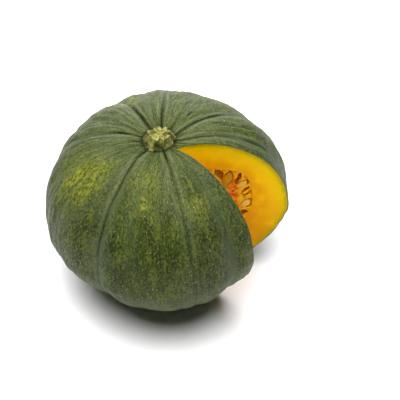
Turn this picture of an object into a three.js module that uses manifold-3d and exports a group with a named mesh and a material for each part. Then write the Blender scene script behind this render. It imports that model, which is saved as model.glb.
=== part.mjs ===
// A ripe green winter squash with one deep notch cut into it from stem to base.
// Millimetres, +Z up, standing on its lobes at z = 0, the origin under the middle of its box.
import * as THREE from "three";
import Module from "manifold-3d";

const wasm = await Module();
wasm.setup();

const { degToRad, lerp, clamp } = THREE.MathUtils;

// Body of the fruit: a superellipsoid about a slightly leaning stem axis.
const GIRTH_RADIUS = 110;
const UPPER = { height: 89.6, power: 2.34 };
const LOWER = { height: 89.2, power: 1.56 };
const OUTLINE_WAVES = [
  { count: 2, cos: -0.01, sin: 0.003 },
  { count: 3, cos: 0.02, sin: 0.007 },
  { count: 4, cos: 0.012, sin: 0.011 },
];
const AXIS_LEAN = degToRad(-3.7);
const CENTRE = new THREE.Vector3(-1.6, 0.5, 70);
const BASE_DISTANCE = 72;
const BASE_TRIM = 0.02;
const BASE_POWER = 20;
const STEM_DIMPLE = 9;
const BLOSSOM_DIMPLE = 8;
const DIMPLE_SPREAD = 0.32;
const STEM_OFFSET = { x: 1.5, y: -6 };
const STEM_PULL = 0.5;

// Grooves between the lobes: degrees round the axis beside the stem and at the girth, and the
// depth at both places. Most are crisp beside the stem and open into soft valleys further down.
const GROOVES = [
  { top: 31, side: 31, crown: 4.5, girth: 3.5 },
  { top: 50, side: 62, crown: 1.5, girth: 2.2 },
  { top: 88, side: 85.5, crown: 5, girth: 1.2 },
  { top: 103, side: 100, crown: 0.8, girth: 3.6 },
  { top: 120, side: 117, crown: 5, girth: 4.8 },
  { top: 150, side: 148, crown: 2, girth: 3.4 },
  { top: 156, side: 163.5, crown: 5, girth: 3 },
  { top: 174, side: 191, crown: 1.6, girth: 1.8 },
  { top: 188, side: 206, crown: 1.2, girth: 2 },
  { top: 213, side: 236, crown: 5.5, girth: 5.5 },
  { top: 250, side: 253.5, crown: 1, girth: 2.4 },
  { top: 281, side: 282, crown: 3.5, girth: 1.6 },
  { top: 308, side: 302, crown: 1, girth: 4 },
  { top: 322, side: 328, crown: 2, girth: 3 },
  { top: 354, side: 363, crown: 3.5, girth: 4.5 },
];
const GROOVE_BEND = 0.38;
const GROOVE_EDGE = 0.6;
const CROWN_REACH = 0.6;
const VALLEY = { crown: 0.02, girth: 0.1 };
const LOBE_LIFT = 1.4;

// Layers of the wall, and the seed cavity round the axis.
const RIND = 2.5;
const GAP = 0.3;
const CAVITY_RADIUS = 78;
const CAVITY_MIDDLE = 16;
const CAVITY_UPPER = { height: 39, power: 3.6 };
const CAVITY_LOWER = { height: 50, power: 2.3 };

// The notch: both knife cuts are upright planes that meet on one line beside the stem.
const CUT_LINE = { x: 14, y: -15.3 };
const FAR_CUT = degToRad(3.2);
const NEAR_CUT = degToRad(-43.9);
const CUT_REACH = 300;
const PULP_RECESS = 1.2;

// Seed pockets in each cut face of the pulp: the angle round the fan's middle where the pocket
// ends, how far it leans off the fan, its length and width, and what it holds.
const FAN_MIDDLE = { out: 28, up: 15 };
const POCKET_WALL = 2.4;
const FAR_POCKETS = [
  { at: 128, lean: 4, length: 16, width: 8, holds: "seed" },
  { at: 106, lean: 6, length: 17, width: 4, holds: "nothing" },
  { at: 82, lean: 26, length: 16, width: 8.5, holds: "nothing" },
  { at: 63, lean: 12, length: 25, width: 9.5, holds: "seed" },
  { at: 50, lean: 26, length: 14, width: 4.5, holds: "nothing" },
  { at: 33, lean: 13, length: 16, width: 9.5, holds: "seed" },
  { at: 21, lean: 22, length: 14, width: 2.8, holds: "nothing" },
  { at: 11, lean: 22, length: 11, width: 2.8, holds: "nothing" },
  { at: -5, lean: 50, length: 16, width: 10.5, holds: "seed" },
  { at: -31, lean: 42, length: 13, width: 8, holds: "nothing" },
  { at: -54, lean: 16, length: 17, width: 9, holds: "seed" },
  { at: -76, lean: 4, length: 16, width: 4, holds: "nothing" },
  { at: -98, lean: -6, length: 17, width: 9, holds: "seed" },
];
const NEAR_POCKETS = [
  { at: 132, lean: -4, length: 16, width: 8, holds: "seed" },
  { at: 111, lean: -8, length: 16, width: 3.5, holds: "nothing" },
  { at: 92, lean: 6, length: 18, width: 9.5, holds: "seed" },
  { at: 71, lean: 8, length: 17, width: 8.5, holds: "nothing" },
  { at: 51, lean: 2, length: 17, width: 9.5, holds: "seed" },
  { at: 36, lean: -10, length: 14, width: 3.2, holds: "nothing" },
  { at: 19, lean: 4, length: 17, width: 9.5, holds: "seed" },
  { at: 3, lean: 10, length: 14, width: 3.2, holds: "nothing" },
  { at: -15, lean: -6, length: 17, width: 10, holds: "seed" },
  { at: -35, lean: -14, length: 15, width: 4, holds: "nothing" },
  { at: -55, lean: 6, length: 17, width: 9, holds: "seed" },
  { at: -77, lean: 0, length: 15, width: 7.5, holds: "nothing" },
  { at: -99, lean: 6, length: 17, width: 9, holds: "seed" },
];
const SLIT_WIDTH = 5;
const POCKET_DEPTH = 5;
const SEED_CLEARANCE = 0.8;
const SEED_HALF_THICKNESS = 1.5;
const SEED_SINK = 0.7;
const STRAND_RADIUS = 1.3;
const HOLLOW = { radius: 20, height: 22, up: 14 };

// The corky stub of the stem, five-sided where it grips the fruit.
const STEM_PLACE = { x: -2, y: 2 };
const STEM_BASE_RADIUS = 17;
const STEM_TOP_RADIUS = 9;
const STEM_HEIGHT = 10;
const STEM_ROOT = 9;
const STEM_LOBES = 5;
const STEM_TURN = 0.5;

// How finely each surface is divided.
const LOBE_COLUMNS = 6;
const BODY_ROWS = 22;
const LAYER_COLUMNS = 3;
const LAYER_ROWS = 17;
const CAVITY_COLUMNS = 32;
const CAVITY_ROWS = 14;
const POLE_CROWDING = 0.065;

const leaning = new THREE.Matrix4().makeRotationY(AXIS_LEAN);
const placed = new THREE.Matrix4().makeTranslation(CENTRE).multiply(leaning);

// A closed solid from a grid of rings between two poles: point(v, u) with v from 0 at the top
// pole to 1 at the bottom one, and u from 0 to 1 anticlockwise round it.
function ringSolid(rows, columns, point) {
  const positions = [...point(0, 0)];
  for (let i = 1; i < rows; i++) {
    for (let j = 0; j < columns; j++) positions.push(...point(i / rows, j / columns));
  }
  positions.push(...point(1, 0));
  const last = positions.length / 3 - 1;
  const at = (i, j) => 1 + (i - 1) * columns + (j % columns);
  const triangles = [];
  for (let j = 0; j < columns; j++) {
    triangles.push(0, at(1, j), at(1, j + 1));
    triangles.push(last, at(rows - 1, j + 1), at(rows - 1, j));
    for (let i = 1; i < rows - 1; i++) {
      triangles.push(at(i, j), at(i + 1, j), at(i + 1, j + 1));
      triangles.push(at(i, j), at(i + 1, j + 1), at(i, j + 1));
    }
  }
  return solidOf(positions, triangles);
}

function solidOf(positions, triangles) {
  return new wasm.Manifold(
    new wasm.Mesh({
      numProp: 3,
      vertProperties: new Float32Array(positions),
      triVerts: new Uint32Array(triangles),
    }),
  );
}

// An upright triangular or four-sided prism over an outline of [x, y] corners.
function prism(corners, low, high) {
  const count = corners.length;
  const positions = [];
  for (const z of [low, high]) {
    for (const [x, y] of corners) positions.push(x, y, z);
  }
  const triangles = [];
  for (let i = 1; i < count - 1; i++) {
    triangles.push(0, i + 1, i);
    triangles.push(count, count + i, count + i + 1);
  }
  for (let i = 0; i < count; i++) {
    const next = (i + 1) % count;
    triangles.push(i, next, count + next);
    triangles.push(i, count + next, count + i);
  }
  return solidOf(positions, triangles);
}

const moved = (solid, matrix) => solid.transform(matrix.elements);

// The biggest body of a solid: slivers that a cut leaves behind fall away.
function largest(solid) {
  const bodies = solid.decompose();
  return bodies.reduce((best, body) => (body.volume() > best.volume() ? body : best));
}

// Rows crowd towards both ends of the axis, where the grooves run together.
const polarAt = (v) => Math.PI * (v - POLE_CROWDING * Math.sin(2 * Math.PI * v));

function superRadius(across, along, radius, { height, power }) {
  const sum = Math.pow(across / radius, power) + Math.pow(Math.abs(along) / height, power);
  return Math.pow(sum, -1 / power);
}

// How far the skin drops at a place between two grooves: a crease, its bottom rounded by valley,
// that eases to the crest.
function crease(t, valley) {
  const rise = (x) => Math.pow(Math.sin((Math.min(1, x) * Math.PI) / 2), GROOVE_EDGE);
  return (1 - rise(Math.hypot(t, valley))) / (1 - rise(valley));
}

function lobeAt(u, polar) {
  const place = u * GROOVES.length;
  const index = Math.floor(place) % GROOVES.length;
  const t = place - Math.floor(place);
  const left = GROOVES[index];
  const right = GROOVES[(index + 1) % GROOVES.length];
  const bend = Math.exp(-((polar / GROOVE_BEND) ** 2));
  const from = lerp(left.side, left.top, bend);
  const to = lerp(right.side, right.top, bend) + (right.side < left.side ? 360 : 0);
  const crown = Math.exp(-((polar / CROWN_REACH) ** 2));
  const valley = lerp(VALLEY.girth, VALLEY.crown, crown);
  const depth = (groove) => lerp(groove.girth, groove.crown, crown);
  const fade = Math.min(1, Math.sin(polar) / 0.45);
  const drop = depth(left) * crease(t, valley) + depth(right) * crease(1 - t, valley) - LOBE_LIFT;
  return { azimuth: degToRad(lerp(from, to, t)), drop: drop * fade };
}

// A point of the fruit's surface, or of a layer that lies inset under it.
function bodyPoint(v, u, inset) {
  const polar = polarAt(v);
  const { azimuth, drop } = lobeAt(u, polar);
  const pull = Math.exp(-((polar / STEM_PULL) ** 2)) / UPPER.height;
  const way = new THREE.Vector3(
    Math.sin(polar) * Math.cos(azimuth) + STEM_OFFSET.x * pull,
    Math.sin(polar) * Math.sin(azimuth) + STEM_OFFSET.y * pull,
    Math.cos(polar),
  ).normalize();
  const across = Math.hypot(way.x, way.y);
  const turn = Math.atan2(way.y, way.x);
  let girth = 0;
  for (const { count, cos, sin } of OUTLINE_WAVES) {
    girth += cos * Math.cos(count * turn) + sin * Math.sin(count * turn);
  }
  const radius = GIRTH_RADIUS * (1 + girth * across ** 2);
  const round = superRadius(across, way.z, radius, way.z > 0 ? UPPER : LOWER);
  const world = way.clone().transformDirection(leaning);
  const down = Math.max(0, -world.z - BASE_TRIM * world.x) / BASE_DISTANCE;
  const rounded = Math.pow(round, -BASE_POWER) + Math.pow(down, BASE_POWER);
  const flat = Math.pow(rounded, -1 / BASE_POWER);
  const dimples =
    STEM_DIMPLE * Math.exp(-((polar / DIMPLE_SPREAD) ** 2)) +
    BLOSSOM_DIMPLE * Math.exp(-(((Math.PI - polar) / DIMPLE_SPREAD) ** 2));
  return way.multiplyScalar(flat - dimples - drop - inset);
}

function bodySolid(lobeColumns, rows, inset) {
  const columns = lobeColumns * GROOVES.length;
  return moved(ringSolid(rows, columns, (v, u) => bodyPoint(v, u, inset)), placed);
}

function cavityPoint(polar, azimuth, inset) {
  const half = Math.cos(polar) > 0 ? CAVITY_UPPER : CAVITY_LOWER;
  const reach = superRadius(Math.sin(polar), Math.cos(polar), CAVITY_RADIUS, half) - inset;
  return new THREE.Vector3(
    reach * Math.sin(polar) * Math.cos(azimuth),
    reach * Math.sin(polar) * Math.sin(azimuth),
    reach * Math.cos(polar) + CAVITY_MIDDLE,
  );
}

function cavitySolid(inset) {
  const point = (v, u) => cavityPoint(polarAt(v), u * 2 * Math.PI, inset);
  return moved(ringSolid(CAVITY_ROWS, CAVITY_COLUMNS, point), placed);
}

// The space between both knife cuts, grown by recess on both of its faces.
function notchSpace(recess) {
  const half = (FAR_CUT - NEAR_CUT) / 2;
  const middle = (FAR_CUT + NEAR_CUT) / 2;
  const back = recess / Math.sin(half);
  const x = CUT_LINE.x - back * Math.cos(middle);
  const y = CUT_LINE.y - back * Math.sin(middle);
  const corner = (angle) => [x + CUT_REACH * Math.cos(angle), y + CUT_REACH * Math.sin(angle)];
  const solid = prism([[x, y], corner(NEAR_CUT), corner(FAR_CUT)], -CUT_REACH, CUT_REACH);
  return moved(solid, placed);
}

const floor = prism(
  [
    [-CUT_REACH, -CUT_REACH],
    [CUT_REACH, -CUT_REACH],
    [CUT_REACH, CUT_REACH],
    [-CUT_REACH, CUT_REACH],
  ],
  -CUT_REACH,
  0,
);

// The frame of a cut face: x runs out from the cut line, y up and z into the flesh behind it.
function faceFrame(angle, inward) {
  const out = new THREE.Vector3(Math.cos(angle), Math.sin(angle), 0);
  const up = new THREE.Vector3(0, 0, 1);
  const into = new THREE.Vector3(-Math.sin(angle), Math.cos(angle), 0).multiplyScalar(inward);
  const frame = new THREE.Matrix4().makeBasis(out, up, into);
  frame.setPosition(CUT_LINE.x, CUT_LINE.y, 0);
  return placed.clone().multiply(frame);
}

const FACES = [
  { name: "far", angle: FAR_CUT, inward: 1, pockets: FAR_POCKETS },
  { name: "near", angle: NEAR_CUT, inward: -1, pockets: NEAR_POCKETS },
];

// Whether a place on a cut face, out from the cut line and up, lies inside the seed cavity.
function insideCavity(angle, { out, up }) {
  const x = CUT_LINE.x + out * Math.cos(angle);
  const y = CUT_LINE.y + out * Math.sin(angle);
  const z = up - CAVITY_MIDDLE;
  const half = z > 0 ? CAVITY_UPPER : CAVITY_LOWER;
  return superRadius(Math.hypot(x, y), z, CAVITY_RADIUS, half) > 1;
}

// Where a pocket lies on its face: its pointed end, and the way from there to its round end.
function pocketPlace(angle, pocket) {
  const way = degToRad(pocket.at);
  const along = (reach) => ({
    out: FAN_MIDDLE.out + reach * Math.cos(way),
    up: FAN_MIDDLE.up + reach * Math.sin(way),
  });
  let reach = 0;
  while (insideCavity(angle, along(reach))) reach += 0.5;
  const end = along(reach - POCKET_WALL);
  const heading = way + degToRad(pocket.lean);
  return {
    out: end.out - pocket.length * Math.cos(heading),
    up: end.up - pocket.length * Math.sin(heading),
    heading,
  };
}

// A flat drop lying along x from its point at 0, half as wide as width, with a rounded far end.
function drop(length, width, halfThickness, grow) {
  const ROWS = 6;
  const columns = width < SLIT_WIDTH ? 4 : 6;
  return ringSolid(ROWS, columns, (v, u) => {
    const swell = Math.pow(Math.sin(Math.PI * Math.pow(v, 1.35)), 0.75);
    const angle = -u * 2 * Math.PI;
    return [
      lerp(-grow, length + grow, v),
      swell * (width / 2 + grow) * Math.cos(angle),
      swell * (halfThickness + grow) * Math.sin(angle),
    ];
  });
}

// Puts a drop at its place on a face, its middle sunk by depth behind the cut.
function onFace(solid, face, place, depth) {
  const seat = faceFrame(face.angle, face.inward);
  seat.multiply(new THREE.Matrix4().makeTranslation(place.out, place.up, depth));
  seat.multiply(new THREE.Matrix4().makeRotationZ(place.heading));
  return moved(solid, seat);
}

const SEED_DEPTH = PULP_RECESS + SEED_SINK + SEED_HALF_THICKNESS;
const STRAND_DEPTH = PULP_RECESS + STRAND_RADIUS + SEED_SINK;

// The cord that the seeds of one face hang on, run through their pointed ends and swollen by grow.
function strand(face, grow) {
  const ends = face.pockets
    .filter((pocket) => pocket.holds === "seed")
    .map((pocket) => pocketPlace(face.angle, pocket));
  const inset = 2;
  const knots = ends.map(({ out, up, heading }) => {
    const x = out + inset * Math.cos(heading);
    const y = up + inset * Math.sin(heading);
    return new THREE.Vector3(x, y, STRAND_DEPTH);
  });
  const curve = new THREE.CatmullRomCurve3(knots);
  const SIDES = 5;
  const STEPS = 16;
  const radius = STRAND_RADIUS + grow;
  const rows = STEPS + 2;
  const solid = ringSolid(rows, SIDES, (v, u) => {
    const along = clamp((v * rows - 1) / STEPS, 0, 1);
    const centre = curve.getPointAt(along);
    const tangent = curve.getTangentAt(along);
    const side = new THREE.Vector3(-tangent.y, tangent.x, 0).normalize();
    const closed = v === 0 || v === 1 ? 0 : radius;
    const angle = -u * 2 * Math.PI;
    const overrun = v === 0 ? -grow - 0.4 : v === 1 ? grow + 0.4 : 0;
    return centre
      .addScaledVector(side, closed * Math.cos(angle))
      .addScaledVector(tangent, overrun)
      .add(new THREE.Vector3(0, 0, closed * Math.sin(angle)));
  });
  return moved(solid, faceFrame(face.angle, face.inward));
}

function seedRow(face, grow) {
  let row = strand(face, grow);
  for (const pocket of face.pockets) {
    if (pocket.holds !== "seed") continue;
    const place = pocketPlace(face.angle, pocket);
    const seed = drop(pocket.length - 2, pocket.width - 1.6, SEED_HALF_THICKNESS, grow);
    row = row.add(onFace(seed, face, place, SEED_DEPTH));
  }
  return row;
}

// What each face's pockets take out of the pulp: open cells, and the beds of the seeds.
function pocketCuts(face) {
  let cuts = seedRow(face, SEED_CLEARANCE);
  for (const pocket of face.pockets) {
    const place = pocketPlace(face.angle, pocket);
    const bed = pocket.holds === "seed" ? SEED_DEPTH : POCKET_DEPTH;
    cuts = cuts.add(onFace(drop(pocket.length, pocket.width, bed, 0), face, place, PULP_RECESS));
  }
  return cuts;
}

// The stringy heart, torn open beside the cut line.
function heartHollow() {
  const point = (v, u) => {
    const polar = v * Math.PI;
    const angle = u * 2 * Math.PI;
    const ragged = 1 + 0.1 * Math.sin(5 * angle + 1) * Math.sin(polar) ** 2;
    return [
      CUT_LINE.x + HOLLOW.radius * ragged * Math.sin(polar) * Math.cos(angle),
      CUT_LINE.y + HOLLOW.radius * ragged * Math.sin(polar) * Math.sin(angle),
      HOLLOW.up + HOLLOW.height * Math.cos(polar),
    ];
  };
  return moved(ringSolid(9, 20, point), placed);
}

// A fluted stub: wide five-sided foot, waist and a knobbly, slightly sunken end.
function stemStub() {
  const ROWS = 10;
  const COLUMNS = 36;
  const top = bodyPoint(0, 0, 0);
  const point = (v, u) => {
    const angle = u * 2 * Math.PI;
    const fromTop = Math.min(1, v / 0.25);
    const down = clamp((v - 0.25) / 0.65, 0, 1);
    const foot = v > 0.9 ? (1 - v) / 0.1 : 1;
    const corners = 0.24 * (0.4 + 0.6 * down) * Math.cos(STEM_LOBES * (angle - STEM_TURN));
    const flutes = 0.06 * Math.sin(9 * angle + 2 * down) + 0.04 * Math.sin(7 * angle + 1);
    const widening = lerp(STEM_TOP_RADIUS, STEM_BASE_RADIUS, down ** 1.6);
    const radius = widening * Math.sin((fromTop * Math.PI) / 2) * foot * (1 + corners + flutes);
    const knobs = 1.1 * Math.sin(3 * angle + 0.6) * fromTop * (1 - down);
    const sunken = 1.6 * (1 - fromTop);
    return [
      top.x + STEM_PLACE.x + radius * Math.cos(angle) + 1.2 * (1 - down),
      top.y + STEM_PLACE.y + radius * Math.sin(angle),
      top.z + lerp(STEM_HEIGHT, -STEM_ROOT, down) + knobs - sunken,
    ];
  };
  return moved(ringSolid(ROWS, COLUMNS, point), placed);
}

const finish = (color, roughness) => {
  return new THREE.MeshStandardMaterial({ color, roughness, metalness: 0 });
};

function meshOf(name, solid, material) {
  const { numProp, numVert, vertProperties, triVerts } = solid.getMesh();
  const positions = new Float32Array(numVert * 3);
  for (let i = 0; i < numVert; i++) {
    positions.set(vertProperties.subarray(i * numProp, i * numProp + 3), i * 3);
  }
  const geometry = new THREE.BufferGeometry();
  geometry.setAttribute("position", new THREE.BufferAttribute(positions, 3));
  geometry.setIndex(new THREE.BufferAttribute(new Uint32Array(triVerts), 1));
  geometry.computeVertexNormals();
  const mesh = new THREE.Mesh(geometry, material);
  mesh.name = name;
  return mesh;
}

const notch = notchSpace(0);
const rind = bodySolid(LOBE_COLUMNS, BODY_ROWS, 0)
  .subtract(bodySolid(LAYER_COLUMNS, LAYER_ROWS, RIND))
  .subtract(notch)
  .subtract(floor);
const flesh = bodySolid(LAYER_COLUMNS, LAYER_ROWS, RIND + GAP)
  .subtract(cavitySolid(0))
  .subtract(notch);
let pulp = cavitySolid(GAP).subtract(notchSpace(PULP_RECESS)).subtract(heartHollow());
for (const face of FACES) pulp = pulp.subtract(pocketCuts(face));
const stem = stemStub().subtract(bodySolid(LOBE_COLUMNS, BODY_ROWS, -GAP));

const pumpkin = new THREE.Group();
pumpkin.add(meshOf("rind", largest(rind), finish("#5a6b44", 0.55)));
pumpkin.add(meshOf("flesh", largest(flesh), finish("#e2a200", 0.5)));
pumpkin.add(meshOf("pulp", largest(pulp), finish("#c4741a", 0.6)));
for (const face of FACES) {
  const seeds = largest(seedRow(face, 0));
  pumpkin.add(meshOf("seeds_" + face.name + "_cut", seeds, finish("#d8b368", 0.6)));
}
pumpkin.add(meshOf("stem", largest(stem), finish("#aaa468", 0.85)));

export default pumpkin;
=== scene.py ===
import math

import bpy
import numpy as np
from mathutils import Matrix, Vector


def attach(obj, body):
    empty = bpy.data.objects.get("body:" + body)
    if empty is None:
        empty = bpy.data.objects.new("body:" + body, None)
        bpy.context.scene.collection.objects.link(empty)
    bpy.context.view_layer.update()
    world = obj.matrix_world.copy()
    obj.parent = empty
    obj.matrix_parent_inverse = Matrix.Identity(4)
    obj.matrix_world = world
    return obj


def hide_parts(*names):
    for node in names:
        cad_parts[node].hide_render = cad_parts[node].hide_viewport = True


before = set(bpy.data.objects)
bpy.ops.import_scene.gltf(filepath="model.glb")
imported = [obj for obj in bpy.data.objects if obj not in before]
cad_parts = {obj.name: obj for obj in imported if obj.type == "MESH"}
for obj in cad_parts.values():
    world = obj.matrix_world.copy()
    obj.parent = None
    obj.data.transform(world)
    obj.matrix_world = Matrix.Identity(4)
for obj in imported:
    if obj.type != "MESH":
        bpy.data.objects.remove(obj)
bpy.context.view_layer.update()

# Stage: a pale table that the fruit stands on, and the viewpoint.
# The table is a plain matt sheet, bright enough to run out to white away from the fruit.
# Lengths in this file are millimetres, and MM turns them into Blender's metres.
MM = 0.001
VIEW_FROM = (-1.6, -929.9, 978.0)
VIEW_ALONG = (0.02303, 0.71776, -0.69591)
VIEW_LENS = 129.71
VIEW_SENSOR = 36
TABLE_SIZE = 8000
TABLE_DROP = 0.1
TABLE_WHITE = "#F4F4F5"


def linear(colour):
    """An sRGB hex colour as linear light with full alpha: ((c + 0.055) / 1.055) ^ 2.4 a channel."""
    parts = [int(colour[i:i + 2], 16) / 255 for i in (1, 3, 5)]
    return tuple(c / 12.92 if c <= 0.04045 else ((c + 0.055) / 1.055) ** 2.4 for c in parts) + (1.0,)


def add_node(material, kind, inputs=None, output=0, **settings):
    """Adds a shader node, gives it its settings, links or fills its inputs, and returns an output."""
    node = material.node_tree.nodes.new(kind)
    for name, value in settings.items():
        setattr(node, name, value)
    for name, value in (inputs or {}).items():
        if isinstance(value, bpy.types.NodeSocket):
            material.node_tree.links.new(value, node.inputs[name])
        else:
            node.inputs[name].default_value = value
    return node.outputs[output] if len(node.outputs) else None


def new_material(name):
    """A material with an empty node tree."""
    material = bpy.data.materials.new(name)
    material.use_nodes = True
    material.node_tree.nodes.clear()
    return material


camera_data = bpy.data.cameras.new("viewpoint")
camera_data.lens = VIEW_LENS
camera_data.sensor_width = VIEW_SENSOR
camera = bpy.data.objects.new("viewpoint", camera_data)
camera.location = Vector(VIEW_FROM) * MM
camera.rotation_euler = Vector(VIEW_ALONG).to_track_quat("-Z", "Y").to_euler()
bpy.context.scene.collection.objects.link(camera)
bpy.context.scene.camera = camera

edge, level = TABLE_SIZE / 2 * MM, -TABLE_DROP * MM
table_mesh = bpy.data.meshes.new("table")
corners = [(-edge, -edge, level), (edge, -edge, level), (edge, edge, level), (-edge, edge, level)]
table_mesh.from_pydata(corners, [], [(0, 1, 2, 3)])
table = bpy.data.objects.new("table", table_mesh)
bpy.context.scene.collection.objects.link(table)
matt_white = new_material("matt white table")
matt = add_node(
    matt_white, "ShaderNodeBsdfPrincipled",
    {"Base Color": linear(TABLE_WHITE), "Roughness": 0.9, "Specular IOR Level": 0.1})
add_node(matt_white, "ShaderNodeOutputMaterial", {"Surface": matt})
table_mesh.materials.append(matt_white)

# Light: a very wide soft box straight above, a white wall behind it, and a dim white room.
# The box is so bright that the table runs out to white past the fruit's own soft shadow.
# Powers are in watts.
LIGHTS = {
    "wide box above": {"place": (-100, -40, 1700), "size": 2000, "power": 78},
    "white wall behind": {"place": (0, 2600, 700), "size": 3400, "power": 92},
}
LIGHTS_AIM = (0, 0, 60)
ROOM_LIGHT = 0.03

for name, light in LIGHTS.items():
    lamp_data = bpy.data.lights.new(name, "AREA")
    lamp_data.shape = "DISK"
    lamp_data.size = light["size"] * MM
    lamp_data.energy = light["power"]
    lamp = bpy.data.objects.new(name, lamp_data)
    lamp.location = Vector(light["place"]) * MM
    aim = Vector(LIGHTS_AIM) - Vector(light["place"])
    lamp.rotation_euler = aim.to_track_quat("-Z", "Y").to_euler()
    bpy.context.scene.collection.objects.link(lamp)
world = bpy.data.worlds.new("white room")
world.use_nodes = True
world.node_tree.nodes["Background"].inputs["Color"].default_value = (1, 1, 1, 1)
world.node_tree.nodes["Background"].inputs["Strength"].default_value = ROOM_LIGHT
bpy.context.scene.world = world
bpy.context.scene.view_settings.view_transform = "Standard"

# Rind: the thin hard waxy skin, ribbed in lobes, grown as one shell round the fruit.
# A knife has cut a notch into it from stem to base, so its edge shows all round the notch.
CENTRE = (-1.6, 0.5, 70)
AXIS_LEAN = math.radians(-3.7)
GIRTH_RADIUS = 110
UPPER_HALF = {"height": 89.6, "power": 2.34}
LOWER_HALF = {"height": 89.2, "power": 1.56}
# A wave of the outline: how many go round, and its cosine's and its sine's share of the radius.
OUTLINE_WAVES = [(2, -0.01, 0.003), (3, 0.02, 0.007), (4, 0.012, 0.011)]
BASE_DISTANCE = 72
BASE_TRIM = 0.02
BASE_POWER = 20
STEM_DIMPLE = 9
BLOSSOM_DIMPLE = 8
DIMPLE_SPREAD = 0.32
STEM_OFFSET = (1.5, -6)
STEM_PULL = 0.5
# A groove: its azimuth by the stem and at the girth in degrees, and its depth at both.
GROOVES = np.array([
    (31, 31, 4.5, 3.5), (50, 62, 1.5, 2.2), (88, 85.5, 5, 1.2), (103, 100, 0.8, 3.6),
    (120, 117, 5, 4.8), (150, 148, 2, 3.4), (156, 163.5, 5, 3), (174, 191, 1.6, 1.8),
    (188, 206, 1.2, 2), (213, 236, 5.5, 5.5), (250, 253.5, 1, 2.4), (281, 282, 3.5, 1.6),
    (308, 302, 1, 4), (322, 328, 2, 3), (354, 363, 3.5, 4.5), (391, 391, 4.5, 3.5),
])
GROOVE_BEND = 0.38
GROOVE_EDGE = 0.6
CROWN_REACH = 0.6
VALLEY = {"crown": 0.02, "girth": 0.1}
LOBE_LIFT = 1.4
POLE_FADE = 0.45
POLE_CROWDING = 0.065
CUT_LINE = (14, -15.3)
FAR_CUT = math.radians(3.2)
NEAR_CUT = math.radians(-43.9)
# Where the notch's edges are looked for: in turns from the grid's start, and in shares of v.
NOTCH_SEARCH = {
    "near": (-0.1, 0.1), "far": (-0.03, 0.25),
    "top": np.array([[0.02], [0.35]]), "base": np.array([[0.65], [0.98]]),
}
RIND_THICKNESS = 1.6
EDGE_WEAR = {"far": 0.25, "near": 0.8}
STRAIGHT = {"far": 0, "near": 0}
LOBES = len(GROOVES) - 1
LOBE_COLUMNS = {"skin": 24, "layer": 8}
START_LOBE = 12.4
# Rows of points above the notch, beside it and below it.
ROWS = (16, 184, 16)
RIM_STEPS = 4
WAVE_SPREAD = (0.7, 1.4)
WELD_DIGITS = 4
SHARP_ANGLE = math.radians(48)


def waves(points, length, seed, count=10):
    """Smooth unevenness: the mean of sine waves of about one length, each along a random way."""
    draw = np.random.default_rng(seed)
    ways = draw.normal(size=(count, 3))
    sizes = np.linalg.norm(ways, axis=1)
    ways *= (2 * math.pi / length / sizes * draw.uniform(*WAVE_SPREAD, count))[:, None]
    phases = draw.uniform(0, 2 * math.pi, count)
    return np.sin(points @ ways.T + phases).sum(axis=-1) / math.sqrt(count / 2)


def ripples(points, kinds):
    """Sets of waves added up, each given as its height, length and seed."""
    return sum(height * waves(points, length, seed) for height, length, seed in kinds)


def bell(distance, reach):
    """A soft spot: 1 where the distance is 0, less further off, exp(-(distance/reach)^2)."""
    return np.exp(-((distance / reach) ** 2))


def smooth(value, low, high):
    """An S-curve from 0 at low to 1 at high: 3t^2 - 2t^3."""
    t = np.clip((value - low) / (high - low), 0, 1)
    return t * t * (3 - 2 * t)


def super_radius(across, along, radius, upper, lower):
    """Radius of a superellipse: ((across/radius)^p + (|along|/height)^p)^(-1/p), halves apart."""
    height = np.where(along > 0, upper["height"], lower["height"])
    power = np.where(along > 0, upper["power"], lower["power"])
    return ((across / radius) ** power + (np.abs(along) / height) ** power) ** (-1 / power)


def polar_at(v):
    """Angle down from the stem, with rows crowded to both ends: pi (v - c sin 2 pi v)."""
    return math.pi * (v - POLE_CROWDING * np.sin(2 * math.pi * v))


def crease(t, valley):
    """Share of a groove's depth at t from it: 1 - sin(r pi/2)^edge, where r^2 = t^2 + valley^2."""
    rise = np.sin(np.minimum(1, np.hypot(t, valley)) * math.pi / 2) ** GROOVE_EDGE
    return (1 - rise) / (1 - np.sin(valley * math.pi / 2) ** GROOVE_EDGE)


def lobe_at(u, polar):
    """Azimuth and drop of the skin: creases, crisp by the stem and soft at the girth, and crests."""
    lap = np.floor(u)
    place = (u - lap) * LOBES
    index = np.minimum(place.astype(int), LOBES - 1)
    t = place - index
    bend, crown = bell(polar, GROOVE_BEND), bell(polar, CROWN_REACH)
    valley = VALLEY["girth"] + (VALLEY["crown"] - VALLEY["girth"]) * crown
    top, side = GROOVES[:, 0], GROOVES[:, 1]
    left, right = (GROOVES[k, 3] + (GROOVES[k, 2] - GROOVES[k, 3]) * crown for k in (index, index + 1))
    start = side[index] + (top[index] - side[index]) * bend
    end = side[index + 1] + (top[index + 1] - side[index + 1]) * bend
    fade = np.minimum(1, np.sin(polar) / POLE_FADE)
    drop = (left * crease(t, valley) + right * crease(1 - t, valley) - LOBE_LIFT) * fade
    return np.radians(start + (end - start) * t + 360 * lap), drop


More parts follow.
